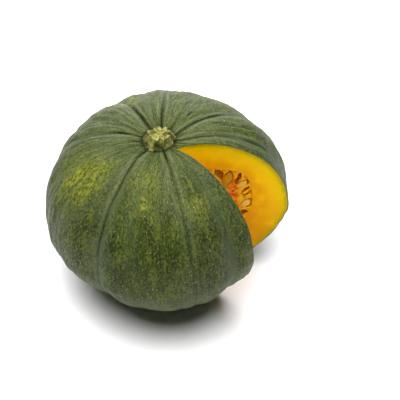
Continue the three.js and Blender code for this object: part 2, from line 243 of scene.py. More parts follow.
def fruit_surface(v, u, inset):
    """Skin of the fruit about its stem axis: a superellipsoid, less base flat, dimples and creases."""
    polar = polar_at(v)
    azimuth, drop = lobe_at(u, polar)
    pull = bell(polar, STEM_PULL) / UPPER_HALF["height"]
    way = np.stack([
        np.sin(polar) * np.cos(azimuth) + STEM_OFFSET[0] * pull,
        np.sin(polar) * np.sin(azimuth) + STEM_OFFSET[1] * pull,
        np.cos(polar) + 0 * azimuth,
    ], axis=-1)
    way /= np.linalg.norm(way, axis=-1, keepdims=True)
    across = np.hypot(way[..., 0], way[..., 1])
    turn = np.arctan2(way[..., 1], way[..., 0])
    girth = sum(c * np.cos(n * turn) + s * np.sin(n * turn) for n, c, s in OUTLINE_WAVES)
    radius = GIRTH_RADIUS * (1 + girth * across ** 2)
    rounded = super_radius(across, way[..., 2], radius, UPPER_HALF, LOWER_HALF)
    world_x = way[..., 0] * math.cos(AXIS_LEAN) + way[..., 2] * math.sin(AXIS_LEAN)
    world_z = way[..., 2] * math.cos(AXIS_LEAN) - way[..., 0] * math.sin(AXIS_LEAN)
    down = np.maximum(0, -world_z - BASE_TRIM * world_x) / BASE_DISTANCE
    flat = (rounded ** -BASE_POWER + down ** BASE_POWER) ** (-1 / BASE_POWER)
    dimples = STEM_DIMPLE * bell(polar, DIMPLE_SPREAD)
    dimples = dimples + BLOSSOM_DIMPLE * bell(math.pi - polar, DIMPLE_SPREAD)
    return way * (flat - dimples - drop - inset)[..., None]


def standing(points):
    """The fruit's own axes to the table's: leans about Y, then moves to the middle."""
    x, y, z = points[..., 0], points[..., 1], points[..., 2]
    c, s = math.cos(AXIS_LEAN), math.sin(AXIS_LEAN)
    return np.stack([x * c + z * s, y, z * c - x * s], axis=-1) + CENTRE


def behind_cut(points, face):
    """How far points lie behind a knife cut, in the flesh: distance to the cut's upright plane."""
    angle = FAR_CUT if face == "far" else NEAR_CUT
    side = 1 if face == "far" else -1
    dx, dy = points[..., 0] - CUT_LINE[0], points[..., 1] - CUT_LINE[1]
    return side * (dy * math.cos(angle) - dx * math.sin(angle))


def bisect(low, high, test, steps=48):
    """Where test turns from false to true between low and high, halving the gap each step."""
    for _ in range(steps):
        middle = (low + high) / 2
        found = test(middle)
        low, high = np.where(found, low, middle), np.where(found, middle, high)
    return (low + high) / 2


def notched_grid(surface, start, columns, rows, wear):
    """Rows round a surface of revolution, open at the notch: u runs from the far cut to the near
    cut, clipped to both planes, and rows above and below the notch close on themselves."""
    def near_edge(v):
        low, high = (start + turns + 0 * v for turns in NOTCH_SEARCH["near"])
        return bisect(low, high, lambda u: behind_cut(surface(v, u), "near") < wear["near"])

    def far_edge(v):
        low, high = (start + turns + 0 * v for turns in NOTCH_SEARCH["far"])
        return bisect(low, high, lambda u: behind_cut(surface(v, u), "far") > wear["far"])

    def is_open(v):
        return behind_cut(surface(v, near_edge(v)), "far") < wear["far"]

    top = bisect(*NOTCH_SEARCH["top"], is_open)[0]
    base = bisect(*NOTCH_SEARCH["base"], lambda v: ~is_open(v))[0]
    v = np.concatenate([
        np.linspace(0, top, rows[0] + 1),
        np.linspace(top, base, rows[1] + 1)[1:],
        np.linspace(base, 1, rows[2] + 1)[1:],
    ])
    near, far = near_edge(v), far_edge(v)
    first_open, last_open = rows[0], rows[0] + rows[1]
    above, below = np.arange(len(v)) <= first_open, np.arange(len(v)) >= last_open
    for closed, apex in ((above, near[first_open]), (below, near[last_open])):
        near, far = np.where(closed, apex, near), np.where(closed, apex, far)
    u = np.clip(columns[None, :], far[:, None], near[:, None] + 1)
    u[:, 0], u[:, -1] = far, near + 1
    v_grid = np.repeat(v[:, None], u.shape[1], axis=1)
    points = surface(v_grid, u)
    points[above | below, -1] = points[above | below, 0]
    points[0], points[-1] = points[0, 0], points[-1, 0]
    return points, v_grid, u


def cut_edges(points, rows):
    """The two edges of a notched grid along the cuts, from the upper to the lower end of the notch."""
    span = slice(rows[0], rows[0] + rows[1] + 1)
    return {"far": points[span, 0], "near": points[span, -1]}


def ruled(first, second, steps):
    """Straight rules from each point of one edge to its partner on the other."""
    t = np.linspace(0, 1, steps + 1)[None, :, None]
    return first[:, None] * (1 - t) + second[:, None] * t


def build_piece(name, patches, materials):
    """One closed mesh from grids of points, welded where their edges share points, with triangles
    where a square has lost a corner at a pole.
    Each patch is (points, attributes, material number, turned), turned where its grid faces inwards."""
    points, faces, numbers, values, first = [], [], [], {}, 0
    for grid, attributes, number, turned in patches:
        height, width = grid.shape[:2]
        at = first + np.arange(height * width).reshape(height, width)
        quads = np.stack([at[:-1, :-1], at[1:, :-1], at[1:, 1:], at[:-1, 1:]], axis=-1).reshape(-1, 4)
        faces.append(quads[:, ::-1] if turned else quads)
        numbers.append(np.full(len(quads), number))
        points.append(grid.reshape(-1, 3))
        for key, value in attributes.items():
            values.setdefault(key, []).append(np.asarray(value, float).reshape(height * width, -1))
        first += height * width
    points, faces, numbers = np.concatenate(points), np.concatenate(faces), np.concatenate(numbers)
    _, keep, shared = np.unique(
        np.round(points, WELD_DIGITS), axis=0, return_index=True, return_inverse=True)
    faces = shared.reshape(-1)[faces]
    distinct = faces != np.roll(faces, -1, axis=1)
    folded = (faces[:, 0] == faces[:, 2]) | (faces[:, 1] == faces[:, 3])
    whole = (distinct.sum(axis=1) == 4) & ~folded
    three = (distinct.sum(axis=1) == 3) & ~folded
    triangles = faces[three][distinct[three]].reshape(-1, 3)
    loops = np.concatenate([faces[whole].reshape(-1), triangles.reshape(-1)])
    starts = np.concatenate([np.arange(whole.sum()) * 4, whole.sum() * 4 + np.arange(len(triangles)) * 3])
    mesh = bpy.data.meshes.new(name)
    mesh.vertices.add(len(keep))
    mesh.vertices.foreach_set("co", (points[keep] * MM).reshape(-1))
    mesh.loops.add(len(loops))
    mesh.loops.foreach_set("vertex_index", loops)
    mesh.polygons.add(len(starts))
    mesh.polygons.foreach_set("loop_start", starts)
    mesh.polygons.foreach_set("material_index", np.concatenate([numbers[whole], numbers[three]]))
    for key, parts in values.items():
        data = np.concatenate(parts)[keep]
        kind = "FLOAT" if data.shape[1] == 1 else "FLOAT_VECTOR"
        layer = mesh.attributes.new(key, kind, "POINT")
        layer.data.foreach_set("value" if kind == "FLOAT" else "vector", data.reshape(-1))
    for material in materials:
        mesh.materials.append(material)
    mesh.update(calc_edges=True)
    mesh.validate()
    mesh.polygons.foreach_set("use_smooth", np.ones(len(mesh.polygons), bool))
    mesh.set_sharp_from_angle(angle=SHARP_ANGLE)
    obj = bpy.data.objects.new(name, mesh)
    bpy.context.scene.collection.objects.link(obj)
    return obj


# Yellow patches where the fruit lay or hung in shade: azimuth and polar degrees, spread, strength.
PALE_SPOTS = [
    (208, 38, 6, 0.9), (204, 50, 10, 1.0), (215, 44, 5, 0.8), (258.5, 43, 2, 1.2), (258, 46, 2, 1.1),
    (255, 33, 7, 0.5), (117, 42, 5, 0.9), (294, 49, 5, 0.6), (70, 120, 20, 1.0), (48, 62, 9, 0.5),
    (150, 75, 9, 0.5),
]
# Relief of the skin: waves as height, length and seed, and long stripes, higher on the crown,
# all held under the most that a skin has, and sunk a little so that little of it passes the solid.
# Reaches are radians from a pole, and "down" is how many millimetres a radian counts for.
SKIN_WAVES = [(0.3, 34, 3), (0.12, 11, 4), (0.05, 4.5, 5)]
STRIPES = {"height": 0.26, "on_crown": 0.2, "reach": 0.7, "down": 18, "length": 9, "seed": 6}
MOST_RELIEF = 0.9
SKIN_SINK = 0.25
POLE_REACH = 0.1
SCAR = {"depth": 0.8, "reach": 0.075, "power": 4}
# Colour marks: by a groove in millimetres from it, on the crown and the lower skin in radians from the
# stem. Several are painted light: shade in the grooves and round the stem's foot, a highlight beside the
# grooves, sheen on the crown's back half, and light from the table on the lower skin.
DEEPEST_GROOVE = 5.5
CRISP_GROOVE = {"from": 0.6, "to": 4.1}
# Painted shade: how dark a groove's line is painted, at the girth and on the crown.
GROOVE_LINE_SHADE = {"girth": 0.35, "crown": 0.65, "reach": 0.62}
LINE_BAND = (0.2, 1.3)
# Painted shade along the deep grooves: its band, and how it grows with the groove's depth.
SEAM_SHADE_BAND = (0.2, 1.6)
SEAM_SHADE_POWER = 0.6
VALLEY_BAND = (1, 11)
VALLEY_SHADE = 0.8
# Painted highlight: a pale line beside each crisp groove, where the lobe's edge catches the light.
LOBE_EDGE_HIGHLIGHT_BAND = {"place": 3.6, "reach": 1.3}
# The crown is grey, and its colours grow stronger on the back half: that part is a painted sheen.
CROWN_GREY_AND_SHEEN = {"mean": 0.85, "behind": 0.35, "reach": 0.72}
# Painted light: the lower skin is paler, as if lit from the white table.
TABLE_LIGHT_BAND = (1.35, 1.95)
PATTERN_DOWN = 95
STEM_PLACE = (-2, 2)
# Painted shade: a dark ring round the stem's foot.
STEM_FOOT_SHADE = {"strength": 0.9, "radius": 14.6, "reach": 1.8}
apex_start = START_LOBE / LOBES


def lobe_columns(count):
    """Places round the fruit: count of them in each lobe, crowded to its grooves, and a shared end."""
    steps = 0.5 - 0.5 * np.cos(np.pi * np.arange(count) / count)
    lap = ((np.arange(LOBES)[:, None] + steps) / LOBES).reshape(-1)
    lap = np.sort(np.where(lap < apex_start, lap + 1, lap))
    return np.concatenate([[apex_start], lap[lap > apex_start + 1e-6], [apex_start + 1]])


def unrolled(azimuth, polar, down):
    """The skin laid out for its patterns: its azimuth on the girth's circle, and down times polar."""
    return np.stack([GIRTH_RADIUS * np.cos(azimuth), GIRTH_RADIUS * np.sin(azimuth), down * polar], axis=-1)


def weathered_skin(v, u):
    """The fruit's surface with the small unevenness of a grown skin and the scar under it."""
    points, polar = fruit_surface(v, u, 0), polar_at(v)
    azimuth, _ = lobe_at(u, polar)
    striped = STRIPES["height"] + STRIPES["on_crown"] * bell(polar, STRIPES["reach"])
    laid_out = unrolled(azimuth, polar, STRIPES["down"])
    uneven = ripples(points, SKIN_WAVES) + striped * waves(laid_out, STRIPES["length"], STRIPES["seed"])
    uneven = MOST_RELIEF * np.tanh(uneven / MOST_RELIEF)
    fade = smooth(polar, 0, POLE_REACH) * smooth(np.pi - polar, 0, POLE_REACH)
    scar = SCAR["depth"] * np.exp(-(((np.pi - polar) / SCAR["reach"]) ** SCAR["power"]))
    length = np.linalg.norm(points, axis=-1, keepdims=True)
    return points * (1 + (uneven * fade - SKIN_SINK - scar)[..., None] / length)


skin_columns, layer_columns = lobe_columns(LOBE_COLUMNS["skin"]), lobe_columns(LOBE_COLUMNS["layer"])
skin, skin_v, skin_u = notched_grid(weathered_skin, apex_start, skin_columns, ROWS, EDGE_WEAR)
under, _, _ = notched_grid(
    lambda v, u: fruit_surface(v, u, RIND_THICKNESS), apex_start, layer_columns, ROWS, STRAIGHT)
skin_polar = polar_at(skin_v)
skin_azimuth, _ = lobe_at(skin_u, skin_polar)
lobe_place = skin_u * LOBES
index = np.round(lobe_place).astype(int) % LOBES
lobe_width = np.diff(GROOVES[:, 1])[np.minimum((lobe_place % LOBES).astype(int), LOBES - 1)]
from_groove = np.abs((lobe_place + 0.5) % 1 - 0.5) * np.radians(lobe_width)
from_groove = from_groove * np.hypot(skin[..., 0], skin[..., 1])
crown = bell(skin_polar, GROOVE_LINE_SHADE["reach"])
crisp = (GROOVES[index, 2] - CRISP_GROOVE["from"]) / (CRISP_GROOVE["to"] - CRISP_GROOVE["from"])
crisp = np.clip(crisp, 0, 1)
# Painted shade in the crisp grooves, darker on the crown; it also sets the painted highlight beside them.
groove_shade_and_highlight = crisp * (GROOVE_LINE_SHADE["girth"] + GROOVE_LINE_SHADE["crown"] * crown)
deep = GROOVES[index, 3] / DEEPEST_GROOVE
valley = (1 - crown) * deep * (1 - smooth(from_groove, *VALLEY_BAND))
from_stem = np.linalg.norm(skin[..., :2] - skin[0, 0, :2] - STEM_PLACE, axis=-1)
# Painted shade where the stem meets the skin.
stem_foot_shade = STEM_FOOT_SHADE["strength"] * bell(from_stem - STEM_FOOT_SHADE["radius"], STEM_FOOT_SHADE["reach"])
pale = np.zeros_like(skin_v)
for azimuth, polar, spread, strength in PALE_SPOTS:
    aside = (skin_azimuth - math.radians(azimuth) + math.pi) % (2 * math.pi) - math.pi
    away = np.degrees(np.hypot(aside * np.sin(skin_polar), skin_polar - math.radians(polar)))
    pale = np.maximum(pale, strength * bell(away, spread))
# Painted sheen: the crown's colours grow stronger on the back half of the fruit.
grey_and_back_sheen = CROWN_GREY_AND_SHEEN["mean"] + CROWN_GREY_AND_SHEEN["behind"] * np.sin(skin_azimuth)
skin_values = {
    "along": unrolled(skin_azimuth, skin_polar, PATTERN_DOWN),
    # Painted shade: a dark line in each crisp groove and a ring round the stem's foot.
    "crease": np.maximum(groove_shade_and_highlight * (1 - smooth(from_groove, *LINE_BAND)), stem_foot_shade),
    # Painted highlight beside each crisp groove.
    "rim": groove_shade_and_highlight * bell(from_groove - LOBE_EDGE_HIGHLIGHT_BAND["place"], LOBE_EDGE_HIGHLIGHT_BAND["reach"]),
    # Painted shade along the deep grooves.
    "seam": crisp * deep ** SEAM_SHADE_POWER * (1 - smooth(from_groove, *SEAM_SHADE_BAND)),
    "valley": valley,
    "open_skin": 1 - VALLEY_SHADE * valley,
    "crown": bell(skin_polar, CROWN_GREY_AND_SHEEN["reach"]) * grey_and_back_sheen,
    "pale": pale,
    # Painted light from the table on the lower skin.
    "belly": smooth(skin_polar, *TABLE_LIGHT_BAND),
    "under_skin": np.zeros_like(skin_v),
}


def same_values(grid, values):
    """Attributes for a hidden patch, each of one number: the given one, or else 0."""
    return {
        key: np.full(grid.shape[:2] + value.shape[2:], values.get(key, 0.0))
        for key, value in skin_values.items()
    }


def on_table(points):
    """Points in the table's axes, none below its top."""
    placed = standing(points)
    placed[..., 2] = np.maximum(placed[..., 2], 0)
    return placed


skin_edges, under_edges = cut_edges(skin, ROWS), cut_edges(under, ROWS)
rind_patches = [
    (on_table(skin), skin_values, 0, False),
    (on_table(under), same_values(under, {"under_skin": 1.0}), 1, True),
]
for face, turned in (("far", True), ("near", False)):
    rim = ruled(skin_edges[face], under_edges[face], RIM_STEPS)
    values = same_values(rim, {})
    values["under_skin"] = np.repeat(np.linspace(0, 1, RIM_STEPS + 1)[None, :], len(rim), axis=0)
    rind_patches.append((on_table(rim), values, 1, turned))

# Squash skin: hard, waxy and matt. Dark and mid green mottle over broad clouds, with pale flecks and long
# faint stripes that follow the lobes, grey valleys and a few yellowed patches. Over these, painted shade
# darkens the grooves, a painted highlight runs beside them, and painted sheen and painted table light pale
# the crown's back half and the lower skin.
# A layer is noise (features a millimetre across and along the lobes, the two levels between
# which it shows, its most), the attribute that bounds it, and its colour.
WAX_TINT = "#D8DEB0"
RIND_BASE = "#1E280B"
RIND_LAYERS = [
    ((0.030, 0.030), 0.38, 0.62, 1.0, None, "#2B350D"),
    ((0.045, 0.030), 0.50, 0.68, 0.7, None, "#30400A"),
    ((0.022, 0.022), 0.47, 0.60, 0.45, None, "#464C36"),
    ((0.055, 0.040), 0.30, 0.55, 0.8, "crown", "#3C4429"),
    ((0.13, 0.07), 0.53, 0.64, 0.5, None, "#55621E"),
    ((0.13, 0.07), 0.46, 0.36, 0.6, None, "#182008"),
    ((0.30, 0.022), 0.47, 0.66, 0.55, None, "#485120"),
    ((0.36, 0.060), 0.50, 0.36, 0.8, "crown", "#141B06"),
    # Painted sheen: a paler crown, stronger on the back half.
    ((0.42, 0.120), 0.52, 0.64, 0.65, "crown", "#636D4A"),
    # Painted highlight beside the grooves.
    ((0.20, 0.030), 0.36, 0.58, 0.8, "rim", "#6C7553"),
    # Painted light from the table on the lower skin.
    ((0.05, 0.05), 0.20, 0.60, 0.5, "belly", "#5C6248"),
    ((0.16, 0.060), 0.35, 0.62, 0.75, "pale", "#5E6410"),
    ((0.42, 0.28), 0.44, 0.60, 1.0, "pale", "#85881E"),
    ((0.60, 0.46), 0.52, 0.64, 0.65, None, "#586028"),
    ((0.60, 0.46), 0.48, 0.36, 0.85, None, "#121905"),
    ((0.05, 0.05), 0.30, 0.55, 0.9, "valley", "#3E4830"),
    ((0.70, 0.52), 0.61, 0.70, 0.75, "open_skin", "#8E9456"),
    # Painted shade along the deep grooves.
    ((0.14, 0.05), 0.40, 0.56, 0.75, "seam", "#11170A"),
    # Painted shade: dark lines in the grooves and round the stem's foot.
    ((0.05, 0.05), -1.0, 0.0, 0.95, "crease", "#0D1106"),
]


def layered(material, place, base, layers):
    """Colours laid over each other: each by its noise, carried between its levels, times its bound.
    A Mix node's inputs 0, 6 and 7 are its share and both colours, and output 2 is the mixed colour."""
    colour = linear(base)
    for grain, low, high, most, bound, tone in layers:
        stretch = (grain[0], grain[0], grain[1])
        spread = add_node(
            material, "ShaderNodeVectorMath", {0: place, 1: stretch}, operation="MULTIPLY")
        pattern = add_node(
            material, "ShaderNodeTexNoise", {"Vector": spread, "Scale": 1, "Detail": 4, "Roughness": 0.6})
        share = add_node(
            material, "ShaderNodeMapRange",
            {"Value": pattern, "From Min": low, "From Max": high, "To Max": most},
            interpolation_type="SMOOTHSTEP")
        if bound:
            limit = add_node(material, "ShaderNodeAttribute", output="Fac", attribute_name=bound)
            share = add_node(material, "ShaderNodeMath", {0: share, 1: limit}, operation="MULTIPLY")
        colour = add_node(
            material, "ShaderNodeMix", {0: share, 6: colour, 7: linear(tone)}, 2, data_type="RGBA")
    return colour


def in_millimetres(material):
    """Object coordinates in millimetres."""
    place = add_node(material, "ShaderNodeTexCoord", output="Object")
    return add_node(material, "ShaderNodeVectorMath", {0: place, 1: (1 / MM,) * 3}, operation="MULTIPLY")


def surface(material, colour, bump, **sockets):
    """The material's end: a principled shader over fine relief, given as grain and height in mm."""
    grain, height = bump
    place = in_millimetres(material)
    relief = add_node(
        material, "ShaderNodeTexNoise", {"Vector": place, "Scale": grain, "Detail": 5, "Roughness": 0.65})
    normal = add_node(
        material, "ShaderNodeBump", {"Height": relief, "Strength": 0.5, "Distance": height * MM})
    inputs = {"Base Color": colour, "Normal": normal}
    inputs.update({name.replace("_", " "): value for name, value in sockets.items()})
    shader = add_node(material, "ShaderNodeBsdfPrincipled", inputs)
    add_node(material, "ShaderNodeOutputMaterial", {"Surface": shader})


squash_skin = new_material("waxy squash skin")
along = add_node(squash_skin, "ShaderNodeAttribute", output="Vector", attribute_name="along")
wax = add_node(squash_skin, "ShaderNodeTexNoise", {"Vector": along, "Scale": 0.2, "Detail": 3})
wax = add_node(
    squash_skin, "ShaderNodeMapRange",
    {"Value": wax, "From Min": 0.3, "From Max": 0.7, "To Min": 0.48, "To Max": 0.66})
surface(squash_skin, layered(squash_skin, along, RIND_BASE, RIND_LAYERS), bump=(0.6, 0.8),
        Roughness=wax, Specular_IOR_Level=0.2, Specular_Tint=linear(WAX_TINT))

# Cut rind: the knife shows its section, near black green outside and yellow green under it.
CUT_RIND_BASE = "#222B0D"
CUT_RIND_LAYERS = [
    ((0.5, 0.5), -0.2, 0.6, 1.0, "under_skin", "#6C7410"),
    ((0.5, 0.5), 0.2, 0.9, 0.8, "under_skin", "#B9A50C"),
]
cut_rind = new_material("knife cut rind")
cut_colours = layered(cut_rind, in_millimetres(cut_rind), CUT_RIND_BASE, CUT_RIND_LAYERS)
surface(cut_rind, cut_colours, bump=(1.0, 0.2), Roughness=0.4, Specular_IOR_Level=0.3)

rind = build_piece("rind_ribbed_skin", rind_patches, [squash_skin, cut_rind])
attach(rind, "root")
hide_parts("rind")

# Flesh: the thick moist yellow wall under the rind, grown as one piece with it.
# The knife left two flat faces; round the seeds it ends in a rounded cavity.
CAVITY_RADIUS = 78
CAVITY_MIDDLE = 16
CAVITY_UPPER = {"height": 39, "power": 3.6}
CAVITY_LOWER = {"height": 50, "power": 2.3}
CAVITY_COLUMNS = 90
FACE_STEPS = 44
FLESH_GAP = 0.02
FLESH_DEPTH = 30


def cavity_surface(v, u, inset=0):
    """Wall of the seed cavity: a superellipsoid about the stem axis, below the middle of the fruit."""
    polar, azimuth = polar_at(v), 2 * math.pi * u
    reach = super_radius(np.sin(polar), np.cos(polar), CAVITY_RADIUS, CAVITY_UPPER, CAVITY_LOWER) - inset
    return np.stack([
        reach * np.sin(polar) * np.cos(azimuth),
        reach * np.sin(polar) * np.sin(azimuth),
        reach * np.cos(polar) + CAVITY_MIDDLE,
    ], axis=-1)


cavity_start = math.atan2(CUT_LINE[1], CUT_LINE[0]) / (2 * math.pi)
cavity_columns = cavity_start + np.linspace(0, 1, CAVITY_COLUMNS + 1)
flesh_skin, _, _ = notched_grid(
    lambda v, u: fruit_surface(v, u, RIND_THICKNESS + FLESH_GAP),
    apex_start, layer_columns, ROWS, STRAIGHT)
cavity, _, _ = notched_grid(cavity_surface, cavity_start, cavity_columns, ROWS, STRAIGHT)
outer_edges, inner_edges = cut_edges(flesh_skin, ROWS), cut_edges(cavity, ROWS)

# Colours of the flesh, by depth under the rind, distance to the cavity, or height. It is green close under
# the rind and a little further in, and painted shade darkens the lower half to a deeper orange.
GREEN_BANDS = [(0.7, (0.3, 4.5)), (0.3, (2, 15))]
DEEP_BAND = (3, 26)
BY_SEEDS_BAND = (0, 8)
LOW_SHADE_BAND = (-45, 28)


def flesh_values(grid, below, above):
    """Shares of green, yellow and orange for a patch so deep under the rind and so far from the
    cavity, and of painted shade by its height: each share rises or falls over its band."""
    values = {
        "greened": 1 - sum(share * smooth(below, *band) for share, band in GREEN_BANDS),
        "deep": smooth(below, *DEEP_BAND),
        "by_seeds": 1 - smooth(above, *BY_SEEDS_BAND),
        # Painted shade: darker towards the bottom.
        "low": 1 - smooth(grid[..., 2], *LOW_SHADE_BAND),
    }
    return {key: np.broadcast_to(value, grid.shape[:2]) for key, value in values.items()}


def distance_to(edge, points):
    """Distance from each point of a grid to the nearest point of an edge."""
    return np.linalg.norm(points[:, :, None] - edge, axis=-1).min(axis=-1)


flesh_patches = [
    (on_table(flesh_skin), flesh_values(flesh_skin, 0, FLESH_DEPTH), 0, False),
    (on_table(cavity), flesh_values(cavity, FLESH_DEPTH, 0), 0, True),
]
for face, turned in (("far", True), ("near", False)):
    outer, inner = outer_edges[face], inner_edges[face]
    sheet = ruled(outer, inner, FACE_STEPS)
    values = flesh_values(sheet, distance_to(outer, sheet), distance_to(inner, sheet))
    flesh_patches.append((on_table(sheet), values, 0, turned))

# Raw squash flesh: dense, moist and a little translucent, deep yellow, green close to the rind
# and orange towards the seeds, with the faint grain that the knife drags across it.
# Light goes in and comes out so many millimetres off, for red, green and blue.
FLESH_BASE = "#F2CC00"
FLESH_LAYERS = [
    ((0.08, 0.08), 0.2, 0.6, 1.0, "deep", "#DA9800"),
    ((0.10, 0.10), 0.2, 0.6, 0.6, "by_seeds", "#E8A000"),
    # Painted shade on the lower half.
    ((0.05, 0.05), 0.1, 0.5, 0.9, "low", "#BC7400"),
    ((0.12, 0.12), 0.1, 0.55, 0.85, "greened", "#8F9300"),
    ((0.25, 0.80), 0.35, 0.75, 0.3, None, "#EA9A00"),
]
WET_TINT = "#FFB400"
FLESH_GLOW = tuple(MM * length for length in (6, 2.5, 0.3))
raw_flesh = new_material("raw squash flesh")
surface(raw_flesh, layered(raw_flesh, in_millimetres(raw_flesh), FLESH_BASE, FLESH_LAYERS), bump=(1.1, 0.2),
        Roughness=0.5, Specular_IOR_Level=0.08, Specular_Tint=linear(WET_TINT),
        Subsurface_Weight=0.2, Subsurface_Radius=FLESH_GLOW, Subsurface_Scale=1.0)

flesh = build_piece("flesh_wall", flesh_patches, [raw_flesh])
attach(flesh, "root")
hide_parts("flesh")

# Pulp: the moist stringy filling of the cavity, all threads and membranes between the seeds.
# The knife opened cells along both faces, and some of its heart was torn away.
FAN_MIDDLE = (28, 15)
POCKET_WALL = 0.9
EMPTY, SEED, VEILED = 0, 1, 2
# A pocket: its place round the fan and its lean from there in degrees, its length and width, and
# what it holds.
FAR_POCKETS = np.array([
    (128, 4, 16, 8, SEED), (106, 6, 17, 4, EMPTY), (82, 26, 16, 8.5, EMPTY), (63, 12, 25, 10.5, VEILED),
    (49, 24, 15, 6, EMPTY), (33, 13, 16, 9.5, SEED), (21, 22, 14, 2.8, EMPTY), (11, 22, 11, 2.8, EMPTY),
    (-5, 50, 16, 10.5, SEED), (-31, 42, 13, 8, EMPTY), (-54, 16, 17, 9, SEED), (-76, 4, 16, 4, EMPTY),
    (-98, -6, 17, 9, SEED),
])
NEAR_POCKETS = np.array([
    (132, -4, 16, 8, SEED), (111, -8, 16, 3.5, EMPTY), (92, 6, 18, 9.5, SEED), (71, 8, 17, 8.5, EMPTY),
    (51, 2, 17, 9.5, SEED), (36, -10, 14, 3.2, EMPTY), (19, 4, 17, 9.5, SEED), (3, 10, 14, 3.2, EMPTY),
    (-15, -6, 17, 10, SEED), (-35, -14, 15, 4, EMPTY), (-55, 6, 17, 9, SEED), (-77, 0, 15, 7.5, EMPTY),
    (-99, 6, 17, 9, SEED),
])
FACES = {
    "far": {"angle": FAR_CUT, "inward": 1, "pockets": FAR_POCKETS, "grid": (230, 170)},
    "near": {"angle": NEAR_CUT, "inward": -1, "pockets": NEAR_POCKETS, "grid": (230, 130)},
}
# Steps along a ray from the fan's middle, which look for the cavity's wall.
FAN_RAY = np.arange(0, 120, 0.5)
DROP_SKEW = 1.35
DROP_FULLNESS = 0.75
# Waves of the cut pulp, as height, length and seed.
PULP_WAVES = {
    "bend out": (1.6, 17, 21), "bend up": (1.6, 17, 22), "lumps": (0.4, 8, 25),
    "cell out": (0.5, 7, 26), "cell up": (0.5, 7, 27), "cell floor": (0.3, 3, 28),
    "heart edge": (0.1, 9, 29), "heart floor": (0.12, 5, 30),
}
# Both faces take their waves from places so far apart that they differ.
WAVES_APART = 40
# Strings stand up from the pulp along the fan and, finer, every way.
FANNED = {"height": 0.4, "length": 2.2, "seed": 23, "stretch": 9}
TANGLED = {"height": 0.25, "length": 3.1, "seed": 24}
STRING_WAVES = 14
STRING_WIDTH = 1.2
PULP_DEPTH = {"mean": 1.0, "least": 0.35, "rim": 0.08}
SEED_FLOOR = 3.4
EMPTY_FLOOR = {"least": 1.2, "by_width": 0.4, "most": 3.6}
CELL_BAND = (0, 0.45)
CELL_CREST = {"height": 0.4, "place": -0.12, "reach": 0.2}
CELL_NARROWEST = 0.2
HEART = {"radius": 20, "height": 22, "up": 14, "depth": 18}
HEART_HOLLOW = 0.8
HEART_BAND = (1, 9)


def face_point(face, out, up, depth):
    """A place out from the cut line, up and behind a face, in the fruit's own axes."""
    angle, inward = FACES[face]["angle"], FACES[face]["inward"]
    x = CUT_LINE[0] + out * math.cos(angle) - depth * inward * math.sin(angle)
    y = CUT_LINE[1] + out * math.sin(angle) + depth * inward * math.cos(angle)
    return np.stack([x, y, up + 0 * x], axis=-1)


def room_to_wall(face, out, up):
    """How many times as far from the cavity's middle a place on a face could lie: 1 at the wall."""
    place = face_point(face, out, up, 0)
    across = np.hypot(place[..., 0], place[..., 1])
    return super_radius(across, up - CAVITY_MIDDLE, CAVITY_RADIUS, CAVITY_UPPER, CAVITY_LOWER)


def pocket_places(face):
    """Pointed end and heading of each pocket: its round end lies just inside the cavity's wall."""
    places = []
    for at, lean, length, width, holds in FACES[face]["pockets"]:
        way, heading = math.radians(at), math.radians(at) + math.radians(lean)
        ray_out = FAN_MIDDLE[0] + FAN_RAY * math.cos(way)
        ray_up = FAN_MIDDLE[1] + FAN_RAY * math.sin(way)
        end = FAN_RAY[np.argmax(room_to_wall(face, ray_out, ray_up) <= 1)] - POCKET_WALL
        places.append((
            FAN_MIDDLE[0] + end * math.cos(way) - length * math.cos(heading),
            FAN_MIDDLE[1] + end * math.sin(way) - length * math.sin(heading),
            heading, length, width, holds))
    return places


def drop_swell(v):
    """Half width of a flat drop along its length, 0 at both ends: sin(pi v^skew)^fullness."""
    return np.sin(np.pi * np.clip(v, 0, 1) ** DROP_SKEW).clip(0) ** DROP_FULLNESS


def strings(points, kind):
    """Height of the strings of one kind, which stand where waves pass 0: 1 - |waves| / width."""
    crossing = waves(points, kind["length"], kind["seed"], STRING_WAVES)
    return kind["height"] * (1 - np.abs(crossing) / STRING_WIDTH)


def cell_room(dx, dy, heading, length, width):
    """How far inside a cell a place lies: 1 on its middle line, 0 at its wall, and less outside."""
    x = dx * math.cos(heading) + dy * math.sin(heading)
    y = dy * math.cos(heading) - dx * math.sin(heading)
    half_width = width / 2 * drop_swell(x / length)
    room = 1 - np.abs(y) / np.maximum(half_width, CELL_NARROWEST)
    return np.where(half_width > CELL_NARROWEST, room, -np.inf)


